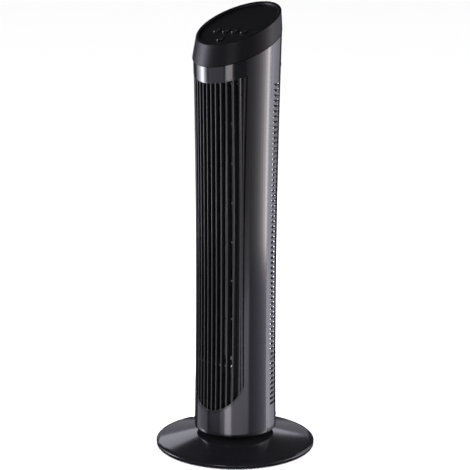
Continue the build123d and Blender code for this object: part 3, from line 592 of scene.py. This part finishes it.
def add_node(tree, kind, **settings):
    """Adds one node. A setting that names an input socket fills it, and others set the node's properties."""
    node = tree.nodes.new(kind)
    for key, value in settings.items():
        label = key.replace("_", " ")
        if label in node.inputs:
            node.inputs[label].default_value = value
        else:
            setattr(node, key, value)
    return node


def maths(tree, operation, first, second):
    """Maths node on two values, each a number or another node's output."""
    node = tree.nodes.new("ShaderNodeMath")
    node.operation = operation
    for socket, value in zip(node.inputs, (first, second)):
        if isinstance(value, (int, float)):
            socket.default_value = value
        else:
            tree.links.new(value, socket)
    return node.outputs["Value"]


def span(tree, value, low, high, to_low, to_high):
    """Maps a value from one range to another and holds it at the ends."""
    node = tree.nodes.new("ShaderNodeMapRange")
    node.clamp = True
    tree.links.new(value, node.inputs["Value"])
    for label, number in zip(("From Min", "From Max", "To Min", "To Max"), (low, high, to_low, to_high)):
        if isinstance(number, (int, float)):
            node.inputs[label].default_value = number
        else:
            tree.links.new(number, node.inputs[label])
    return node.outputs["Result"]


def stretched_noise(tree, scale_socket, stretch, detail):
    """Noise on Object coordinates, squeezed or stretched along each axis."""
    place = tree.nodes.new("ShaderNodeTexCoord")
    mapping = add_node(tree, "ShaderNodeMapping", Scale=stretch)
    noise = add_node(tree, "ShaderNodeTexNoise", Detail=detail)
    tree.links.new(place.outputs["Object"], mapping.inputs["Vector"])
    tree.links.new(mapping.outputs["Vector"], noise.inputs["Vector"])
    tree.links.new(scale_socket, noise.inputs["Scale"])
    return noise.outputs["Fac"]


def moulded_surface():
    """Moulded plastic: a fine orange-peel height, and roughness that drifts with flow marks and handling."""
    inputs = {"Roughness": 0.2, "Drift": 0.05, "Peel Scale": 350.0, "Flow Scale": 9.0}
    group, given, made = new_group("moulded surface", inputs, ["Roughness", "Height"])
    peel = stretched_noise(group, given.outputs["Peel Scale"], (1, 1, 1), 2.0)
    flow = stretched_noise(group, given.outputs["Flow Scale"], (1, 1, 0.25), 4.0)
    shift = maths(group, "MULTIPLY", maths(group, "SUBTRACT", flow, 0.5), given.outputs["Drift"])
    group.links.new(maths(group, "ADD", given.outputs["Roughness"], shift), made.inputs["Roughness"])
    group.links.new(peel, made.inputs["Height"])
    return group


def settled_dust():
    """Dust: a mask that is strongest on faces that look up, broken into specks and soft patches."""
    group, given, made = new_group("settled dust", {"Amount": 0.2, "Speck Scale": 900.0}, ["Mask"])
    facing = group.nodes.new("ShaderNodeNewGeometry")
    split = group.nodes.new("ShaderNodeSeparateXYZ")
    group.links.new(facing.outputs["Normal"], split.inputs["Vector"])
    up = span(group, split.outputs["Z"], 0.35, 1.0, 0.0, 1.0)
    grains = stretched_noise(group, given.outputs["Speck Scale"], (1, 1, 1), 1.0)
    specks = span(group, grains, 0.56, 0.7, 0.15, 1.0)
    patches = add_node(group, "ShaderNodeTexNoise", Scale=14.0, Detail=3.0)
    place = group.nodes.new("ShaderNodeTexCoord")
    group.links.new(place.outputs["Object"], patches.inputs["Vector"])
    soft = span(group, patches.outputs["Fac"], 0.35, 0.7, 0.2, 1.0)
    mask = maths(group, "MULTIPLY", maths(group, "MULTIPLY", up, specks), soft)
    group.links.new(maths(group, "MULTIPLY", mask, given.outputs["Amount"]), made.inputs["Mask"])
    return group


def fine_scuffs():
    """Hairline wiping marks: narrow bands picked out of two stretched noises that cross each other."""
    group, given, made = new_group("fine scuffs", {"Amount": 0.3, "Scale": 60.0}, ["Mask"])
    marks = []
    for stretch in ((1.0, 1.0, 14.0), (9.0, 9.0, 1.0)):
        noise = stretched_noise(group, given.outputs["Scale"], stretch, 3.0)
        middle = maths(group, "ABSOLUTE", maths(group, "SUBTRACT", noise, 0.5), 0.0)
        marks.append(span(group, middle, 0.0, 0.012, 1.0, 0.0))
    both = maths(group, "MAXIMUM", marks[0], marks[1])
    group.links.new(maths(group, "MULTIPLY", both, given.outputs["Amount"]), made.inputs["Mask"])
    return group


def drawn_metal():
    """Metal that was rolled or turned: streaks along the height's plane, as roughness and a small height."""
    inputs = {"Roughness": 0.3, "Streak": 0.15, "Scale": 240.0}
    group, given, made = new_group("drawn metal", inputs, ["Roughness", "Height"])
    streaks = stretched_noise(group, given.outputs["Scale"], (0.2, 0.2, 6.0), 3.0)
    shift = maths(group, "MULTIPLY", maths(group, "SUBTRACT", streaks, 0.5), given.outputs["Streak"])
    group.links.new(maths(group, "ADD", given.outputs["Roughness"], shift), made.inputs["Roughness"])
    group.links.new(streaks, made.inputs["Height"])
    return group


def banding():
    """Even bands up the height, for laminated cores and wound wire: a rounded ridge in every pitch."""
    group, given, made = new_group("banding", {"Pitch": 0.001, "Depth": 1.0}, ["Ridge"])
    place = group.nodes.new("ShaderNodeTexCoord")
    split = group.nodes.new("ShaderNodeSeparateXYZ")
    group.links.new(place.outputs["Object"], split.inputs["Vector"])
    turn = maths(group, "FRACT", maths(group, "DIVIDE", split.outputs["Z"], given.outputs["Pitch"]), 0.0)
    ridge = maths(group, "SINE", maths(group, "MULTIPLY", turn, float(np.pi)), 0.0)
    group.links.new(maths(group, "MULTIPLY", ridge, given.outputs["Depth"]), made.inputs["Ridge"])
    return group


EFFECTS = {}


def place_group(tree, maker, **values):
    """Places a shared effect in a material with its own values. An effect is built when it is first used."""
    if maker not in EFFECTS:
        EFFECTS[maker] = maker()
    node = tree.nodes.new("ShaderNodeGroup")
    node.node_tree = EFFECTS[maker]
    for key, value in values.items():
        node.inputs[key.replace("_", " ")].default_value = value
    return node


# ---- finishes ----


def new_material(name, colour, metallic=0.0, ior=1.5):
    """Material with one shader, whose even values sit on the shader's own sockets."""
    material = bpy.data.materials.new(name)
    material.use_nodes = True
    shader = material.node_tree.nodes["Principled BSDF"]
    shader.inputs["Base Color"].default_value = (*colour, 1.0)
    shader.inputs["Metallic"].default_value = metallic
    shader.inputs["IOR"].default_value = ior
    return material, material.node_tree, shader


def tint(tree, shader, mask, colour, other):
    """Mixes the base colour towards another by a mask."""
    mix = add_node(tree, "ShaderNodeMix", data_type="RGBA")
    mix.inputs["A"].default_value = (*colour, 1.0)
    mix.inputs["B"].default_value = (*other, 1.0)
    tree.links.new(mask, mix.inputs["Factor"])
    tree.links.new(mix.outputs["Result"], shader.inputs["Base Color"])


def raise_surface(tree, shader, height, distance):
    """Turns a height into a bump on the shader's normal."""
    bump = add_node(tree, "ShaderNodeBump", Distance=distance, Strength=1.0)
    tree.links.new(height, bump.inputs["Height"])
    tree.links.new(bump.outputs["Normal"], shader.inputs["Normal"])


def plastic(name, colour, roughness, peel=0.00002, drift=0.06, peel_scale=350.0, dust=0.12, scuffs=0.2,
            ior=1.5):
    """Moulded plastic: orange peel, flow marks, wiping marks in the roughness and dust on what faces up."""
    material, tree, shader = new_material(name, colour, ior=ior)
    surface = place_group(tree, moulded_surface, Roughness=roughness, Drift=drift, Peel_Scale=peel_scale)
    marks = place_group(tree, fine_scuffs, Amount=scuffs)
    film = place_group(tree, settled_dust, Amount=dust)
    wiped = maths(tree, "MULTIPLY", marks.outputs["Mask"], 0.25)
    dusty = maths(tree, "MULTIPLY", film.outputs["Mask"], 0.4)
    rough = maths(tree, "ADD", maths(tree, "ADD", surface.outputs["Roughness"], wiped), dusty)
    tree.links.new(rough, shader.inputs["Roughness"])
    tint(tree, shader, film.outputs["Mask"], colour, DUST)
    raise_surface(tree, shader, surface.outputs["Height"], peel)
    return material


def metal(name, colour, roughness, streak=0.15, scale=240.0, depth=0.00002):
    """Bare or plated metal with drawing streaks."""
    material, tree, shader = new_material(name, colour, metallic=1.0)
    surface = place_group(tree, drawn_metal, Roughness=roughness, Streak=streak, Scale=scale)
    tree.links.new(surface.outputs["Roughness"], shader.inputs["Roughness"])
    streaks = span(tree, surface.outputs["Height"], 0.3, 0.7, 0.0, 1.0)
    tint(tree, shader, streaks, tuple(0.8 * c for c in colour), colour)
    raise_surface(tree, shader, surface.outputs["Height"], depth)
    return material


def banded(name, colour, groove, roughness, pitch, depth, metallic):
    """Laminated sheets or wound wire: bands up the height with dark grooves between them."""
    material, tree, shader = new_material(name, colour, metallic=metallic)
    bands = place_group(tree, banding, Pitch=pitch)
    surface = place_group(tree, drawn_metal, Roughness=roughness, Streak=0.2)
    tree.links.new(surface.outputs["Roughness"], shader.inputs["Roughness"])
    tint(tree, shader, bands.outputs["Ridge"], groove, colour)
    raise_surface(tree, shader, bands.outputs["Ridge"], depth)
    return material


def finish_table(colours):
    """One finish for every material slot of the record, as calls to be made once."""
    shell, base, cap = tuple(colours.shell), tuple(colours.base), tuple(colours.cap)
    grille, keys = tuple(colours.grille), tuple(colours.keys)
    white = (0.62, 0.61, 0.57)
    return {
        "shell_plastic": lambda n: plastic(n, shell, 0.13, peel=0.000006, drift=0.05, scuffs=0.1, dust=0.05),
        "rear_plastic": lambda n: plastic(n, shell, 0.16, peel=0.000008, scuffs=0.12, dust=0.08),
        "base_plastic": lambda n: plastic(n, base, 0.12, peel=0.000008, scuffs=0.12, dust=0.015),
        "cap_plastic": lambda n: plastic(n, cap, 0.36, peel=0.00001, drift=0.08, scuffs=0.1, dust=0.02,
                                         ior=1.19),
        "panel_plastic": lambda n: plastic(n, cap, 0.3, peel=0.00001, scuffs=0.15, dust=0.008, ior=1.3),
        "key_plastic": lambda n: plastic(n, keys, 0.12, peel=0.000004, scuffs=0.3, dust=0.01),
        "grille_plastic": lambda n: plastic(n, grille, 0.2, peel=0.000008, dust=0.1),
        "impeller_plastic": lambda n: plastic(n, grille, 0.3, dust=0.25),
        "duct_plastic": lambda n: plastic(n, (0.004, 0.004, 0.005), 0.5, dust=0.3),
        "inner_plastic": lambda n: plastic(n, (0.03, 0.03, 0.033), 0.45, peel=0.00004, peel_scale=900.0,
                                           dust=0.3),
        "column_plastic": lambda n: plastic(n, white, 0.4, peel=0.00002, dust=0.2),
        "washer_plastic": lambda n: plastic(n, (0.72, 0.71, 0.66), 0.35, dust=0.1),
        "crank_plastic": lambda n: plastic(n, (0.68, 0.67, 0.62), 0.38, dust=0.1),
        "switch_case": lambda n: plastic(n, (0.32, 0.24, 0.14), 0.5, peel=0.00005, peel_scale=700.0,
                                         dust=0.2),
        "capacitor_case": lambda n: plastic(n, (0.02, 0.02, 0.022), 0.28, dust=0.2),
        "loom_sleeve": lambda n: banded(n, (0.03, 0.03, 0.033), (0.005, 0.005, 0.005), 0.6, pitch=0.0018,
                                        depth=0.0002, metallic=0.0),
        "foot_rubber": lambda n: plastic(n, (0.012, 0.012, 0.012), 0.75, peel=0.00008, peel_scale=1400.0,
                                         dust=0.3),
        "screw_steel": lambda n: metal(n, (0.58, 0.58, 0.56), 0.32, scale=900.0),
        "plated_steel": lambda n: metal(n, (0.62, 0.62, 0.6), 0.38),
        "shaft_steel": lambda n: metal(n, (0.7, 0.7, 0.71), 0.14, streak=0.08, scale=1500.0),
        "spring_steel": lambda n: metal(n, (0.6, 0.6, 0.6), 0.22, scale=1200.0),
        "motor_can": lambda n: metal(n, (0.6, 0.6, 0.57), 0.3),
        "shield_alloy": lambda n: metal(n, (0.6, 0.6, 0.6), 0.5, streak=0.1, scale=500.0, depth=0.0001),
        "bush_bronze": lambda n: metal(n, (0.56, 0.38, 0.2), 0.42, scale=800.0),
        "core_steel": lambda n: banded(n, (0.3, 0.3, 0.32), (0.04, 0.035, 0.03), 0.45, pitch=0.0005,
                                       depth=0.00012, metallic=1.0),
        "copper_winding": lambda n: banded(n, (0.62, 0.24, 0.09), (0.12, 0.03, 0.01), 0.3, pitch=0.0006,
                                           depth=0.0003, metallic=1.0),
    }


def finish(slot, colours):
    """The finish of a slot, made the first time it is asked for."""
    name = slot + "_finish"
    return bpy.data.materials.get(name) or finish_table(colours)[slot](name)


def dress_frame(colours):
    """Gives every carried-over piece of the frame the finish of its slot."""
    slots = {part["node"]: part["material_slot"] for part in frame["record"]["subparts"]}
    for node, piece in frame["nodes"].items():
        material = finish(slots[node], colours)
        if not piece.material_slots:
            piece.data.materials.append(material)
        for place in piece.material_slots:
            place.material = material


# ---- studio ----


def sky(settings):
    """Even studio surround: white for the camera, dim where it is mirrored, soft as light on matt faces."""
    world = bpy.data.worlds.new("studio surround")
    world.use_nodes = True
    bpy.context.scene.world = world
    tree = world.node_tree
    tree.nodes.clear()
    path = tree.nodes.new("ShaderNodeLightPath")
    soft = add_node(tree, "ShaderNodeBackground", Color=(1.0, 1.0, 1.0, 1.0), Strength=settings.fill)
    dim = add_node(tree, "ShaderNodeBackground", Color=(0.9, 0.9, 1.0, 1.0), Strength=settings.mirrored)
    white = add_node(tree, "ShaderNodeBackground", Color=(1.0, 1.0, 1.0, 1.0), Strength=1.0)
    mirrored = tree.nodes.new("ShaderNodeMixShader")
    seen = tree.nodes.new("ShaderNodeMixShader")
    output = tree.nodes.new("ShaderNodeOutputWorld")
    tree.links.new(path.outputs["Is Glossy Ray"], mirrored.inputs["Fac"])
    tree.links.new(soft.outputs["Background"], mirrored.inputs[1])
    tree.links.new(dim.outputs["Background"], mirrored.inputs[2])
    tree.links.new(path.outputs["Is Camera Ray"], seen.inputs["Fac"])
    tree.links.new(mirrored.outputs["Shader"], seen.inputs[1])
    tree.links.new(white.outputs["Background"], seen.inputs[2])
    tree.links.new(seen.outputs["Shader"], output.inputs["Surface"])


def floor(settings):
    """Pale floor: a wide round sheet, finer near the middle, that lies just under the feet."""
    radius = np.concatenate([[0.0], np.geomspace(FLOOR_MIDDLE, FLOOR_REACH, FLOOR_RINGS - 1)])[:, None]
    angle = full_turn(FLOOR_SIDES)[None, :]
    x = radius * np.cos(angle)
    points = np.stack([x, radius * np.sin(angle), np.full(x.shape, -FLOOR_DROP)], axis=-1)
    faces = grid_faces(*x.shape, closed_columns=True)
    material, tree, shader = new_material("studio floor", tuple(settings.floor))
    surface = place_group(tree, moulded_surface, Roughness=0.6, Drift=0.05, Peel_Scale=90.0)
    tree.links.new(surface.outputs["Roughness"], shader.inputs["Roughness"])
    raise_surface(tree, shader, surface.outputs["Height"], 0.0001)
    mesh = bpy.data.meshes.new("studio_floor")
    mesh.from_pydata(points.reshape(-1, 3).tolist(), [], faces.tolist())
    mesh.materials.append(material)
    sheet = bpy.data.objects.new("studio_floor", mesh)
    bpy.context.scene.collection.objects.link(sheet)
    sheet.visible_glossy = False
    sheet.visible_shadow = False


def soft_box(name, azimuth, distance, low, high, width, radiance, colour):
    """Upright soft box that faces the fan's axis; azimuth runs from the front towards +X."""
    turn = np.radians(azimuth)
    lamp = bpy.data.lights.new(name, "AREA")
    lamp.shape = "RECTANGLE"
    lamp.size = width
    lamp.size_y = high - low
    lamp.energy = radiance * np.pi * width * (high - low)
    lamp.color = colour
    box = bpy.data.objects.new(name, lamp)
    bpy.context.scene.collection.objects.link(box)
    box.location = (distance * np.sin(turn), -distance * np.cos(turn), (low + high) / 2)
    box.rotation_euler = (np.pi / 2, 0.0, turn)
    box.visible_camera = False


def graded_box(name, first, last, distance, low, high, dim, bright, colour):
    """Row of narrow soft boxes, edge to edge, whose brightness changes by an even factor at each step."""
    step = (last - first) / RAMP_STEPS
    width = distance * np.radians(step)
    for i in range(RAMP_STEPS):
        radiance = dim * (bright / dim) ** (i / (RAMP_STEPS - 1))
        soft_box(f"{name}_{i + 1}", first + step * (i + 0.5), distance, low, high, width, radiance, colour)


def camera(settings):
    """Camera at the front right of the fan, a little above its top and looking down."""
    lens = bpy.data.cameras.new("studio_camera")
    lens.lens = settings.lens
    lens.sensor_width = 36.0
    lens.clip_end = 200.0
    lens.shift_x = settings.camera_shift
    eye = bpy.data.objects.new("studio_camera", lens)
    bpy.context.scene.collection.objects.link(eye)
    turn = Matrix.Rotation(settings.camera_azimuth, 4, "Z")
    place = turn @ Matrix.Translation((0.0, -settings.camera_distance, settings.camera_height))
    tilt = Matrix.Rotation(np.pi / 2 - settings.camera_tilt, 4, "X")
    eye.matrix_world = place @ tilt @ Matrix.Rotation(settings.camera_roll, 4, "Z")
    bpy.context.scene.camera = eye


# ---- settings, operators and panel ----


def length(name, description, default):
    """Property for a size in metres."""
    return bpy.props.FloatProperty(name=name, description=description, default=default, min=0.0,
                                   unit="LENGTH", precision=5)


def shade(name, description, default):
    """Property for a colour."""
    return bpy.props.FloatVectorProperty(name=name, description=description, default=default, subtype="COLOR",
                                         size=3, min=0.0, max=1.0)


def turn_angle(name, description, degrees):
    """Property for an angle."""
    radians = float(np.radians(degrees))
    return bpy.props.FloatProperty(name=name, description=description, default=radians, subtype="ANGLE")


def number(name, description, default, low=0.0):
    """Property for a plain number."""
    return bpy.props.FloatProperty(name=name, description=description, default=default, min=low)


class TowerFanSizes(bpy.types.PropertyGroup):
    """Wall and edge sizes of the moulded pieces."""

    wall: length("Wall", "Wall of the two shells", 0.0025)
    edge: length("Shell edge", "Rounding of the shells' and the grille's edges", 0.0004)
    slot_edge: length("Slot edge", "Rounding of the inlet slots' edges", 0.00035)
    outlet_corner: length("Outlet corner", "Rounding of the outlet's upper corners", 0.006)
    grille_frame: length("Grille frame", "Width of the frame round the slats", 0.0022)
    slat_width: length("Slat width", "Width of one upright slat", 0.0019)
    cap_edge: length("Cap edge", "Rounding of the cap's outer rim", 0.002)
    lip_edge: length("Lip edge", "Rounding of the inner edge of the cap's lip", 0.0012)
    base_edge: length("Base edge", "Rounding of the base's rim", 0.0009)


class TowerFanColours(bpy.types.PropertyGroup):
    """Colours of the visible mouldings."""

    shell: shade("Shells", "Front and rear shells", (0.0035, 0.0035, 0.0045))
    base: shade("Base", "Conical base", (0.004, 0.004, 0.005))
    cap: shade("Cap", "Cap and key panel", (0.003, 0.003, 0.0036))
    keys: shade("Keys", "Push keys", (0.003, 0.003, 0.0034))
    grille: shade("Grille", "Grille, slats and impeller", (0.004, 0.004, 0.0046))


class TowerFanStudio(bpy.types.PropertyGroup):
    """Floor, light and camera."""

    floor: shade("Floor", "Pale floor", (0.93, 0.93, 0.93))
    fill: number("Fill", "Strength of the soft light from all round", 1.3)
    mirrored: number("Mirrored", "Strength of the surround in reflections", 0.05)
    lens: number("Lens", "Focal length in millimetres", 101.68, low=1.0)
    camera_distance: length("Distance", "Level distance of the camera from the tower's axis", 2.1588)
    camera_height: length("Height", "Height of the camera above the floor", 0.780)
    camera_azimuth: turn_angle("Azimuth", "Turn of the camera from the front towards the right", 40.5)
    camera_shift: number("Shift", "Sideways shift of the view", -0.0025, low=-1.0)
    camera_tilt: turn_angle("Tilt", "How far the camera looks down", 11.034)
    camera_roll: turn_angle("Roll", "Lean of the camera", 0.3)


class TOWERFAN_OT_shells(bpy.types.Operator):
    """Build the front and rear shells of the tower"""

    bl_idname = "towerfan.shells"
    bl_label = "Shells"

    def execute(self, context):
        scene = context.scene
        front_shell(scene.towerfan_sizes, finish("shell_plastic", scene.towerfan_colours))
        rear_shell(scene.towerfan_sizes, finish("rear_plastic", scene.towerfan_colours))
        return {"FINISHED"}


class TOWERFAN_OT_grille(bpy.types.Operator):
    """Build the outlet grille's frame and slats"""

    bl_idname = "towerfan.grille"
    bl_label = "Grille"

    def execute(self, context):
        scene = context.scene
        material = finish("grille_plastic", scene.towerfan_colours)
        grille_frame(scene.towerfan_sizes, material)
        grille_slats(scene.towerfan_sizes, material)
        return {"FINISHED"}


class TOWERFAN_OT_cap(bpy.types.Operator):
    """Build the slanted cap's collar"""

    bl_idname = "towerfan.cap"
    bl_label = "Cap"

    def execute(self, context):
        scene = context.scene
        cap_housing(scene.towerfan_sizes, finish("cap_plastic", scene.towerfan_colours))
        return {"FINISHED"}


class TOWERFAN_OT_base(bpy.types.Operator):
    """Build the conical base"""

    bl_idname = "towerfan.base"
    bl_label = "Base"

    def execute(self, context):
        scene = context.scene
        base_cover(scene.towerfan_sizes, finish("base_plastic", scene.towerfan_colours))
        return {"FINISHED"}


class TOWERFAN_OT_inside(bpy.types.Operator):
    """Give every piece that stays as packed its finish, and wind the springs under the keys"""

    bl_idname = "towerfan.inside"
    bl_label = "Keys and inner parts"

    def execute(self, context):
        dress_frame(context.scene.towerfan_colours)
        key_springs(finish("spring_steel", context.scene.towerfan_colours))
        return {"FINISHED"}


class TOWERFAN_OT_studio(bpy.types.Operator):
    """Lay the pale floor and set up the light and the camera"""

    bl_idname = "towerfan.studio"
    bl_label = "Studio"

    def execute(self, context):
        settings = context.scene.towerfan_studio
        context.scene.view_settings.view_transform = "Standard"
        sky(settings)
        floor(settings)
        for name, *place in SOFT_BOXES:
            soft_box(name, *place)
        for name, *place in GRADED_BOXES:
            graded_box(name, *place)
        camera(settings)
        return {"FINISHED"}


class TOWERFAN_PT_sidebar(bpy.types.Panel):
    """Lists the pieces and their settings"""

    bl_label = "Tower Fan"
    bl_space_type = "VIEW_3D"
    bl_region_type = "UI"
    bl_category = "Tower Fan"

    def draw(self, context):
        for operator in OPERATORS:
            self.layout.operator(operator.bl_idname)
        for settings in SETTINGS:
            group = getattr(context.scene, settings)
            box = self.layout.box()
            for name in group.__annotations__:
                box.prop(group, name)


SETTINGS = {
    "towerfan_sizes": TowerFanSizes,
    "towerfan_colours": TowerFanColours,
    "towerfan_studio": TowerFanStudio,
}
OPERATORS = (
    TOWERFAN_OT_shells,
    TOWERFAN_OT_grille,
    TOWERFAN_OT_cap,
    TOWERFAN_OT_base,
    TOWERFAN_OT_inside,
    TOWERFAN_OT_studio,
)


def register():
    """Registers the settings, the operators and the panel."""
    for cls in (*SETTINGS.values(), *OPERATORS, TOWERFAN_PT_sidebar):
        bpy.utils.register_class(cls)
    for name, cls in SETTINGS.items():
        setattr(bpy.types.Scene, name, bpy.props.PointerProperty(type=cls))


def unregister():
    """Takes the settings, the operators and the panel away again."""
    for name in SETTINGS:
        delattr(bpy.types.Scene, name)
    for cls in reversed((*SETTINGS.values(), *OPERATORS, TOWERFAN_PT_sidebar)):
        bpy.utils.unregister_class(cls)


def main():
    """Builds every piece and the studio."""
    register()
    bpy.ops.towerfan.shells()
    bpy.ops.towerfan.grille()
    bpy.ops.towerfan.cap()
    bpy.ops.towerfan.base()
    bpy.ops.towerfan.inside()
    bpy.ops.towerfan.studio()


if __name__ == "__main__":
    main()
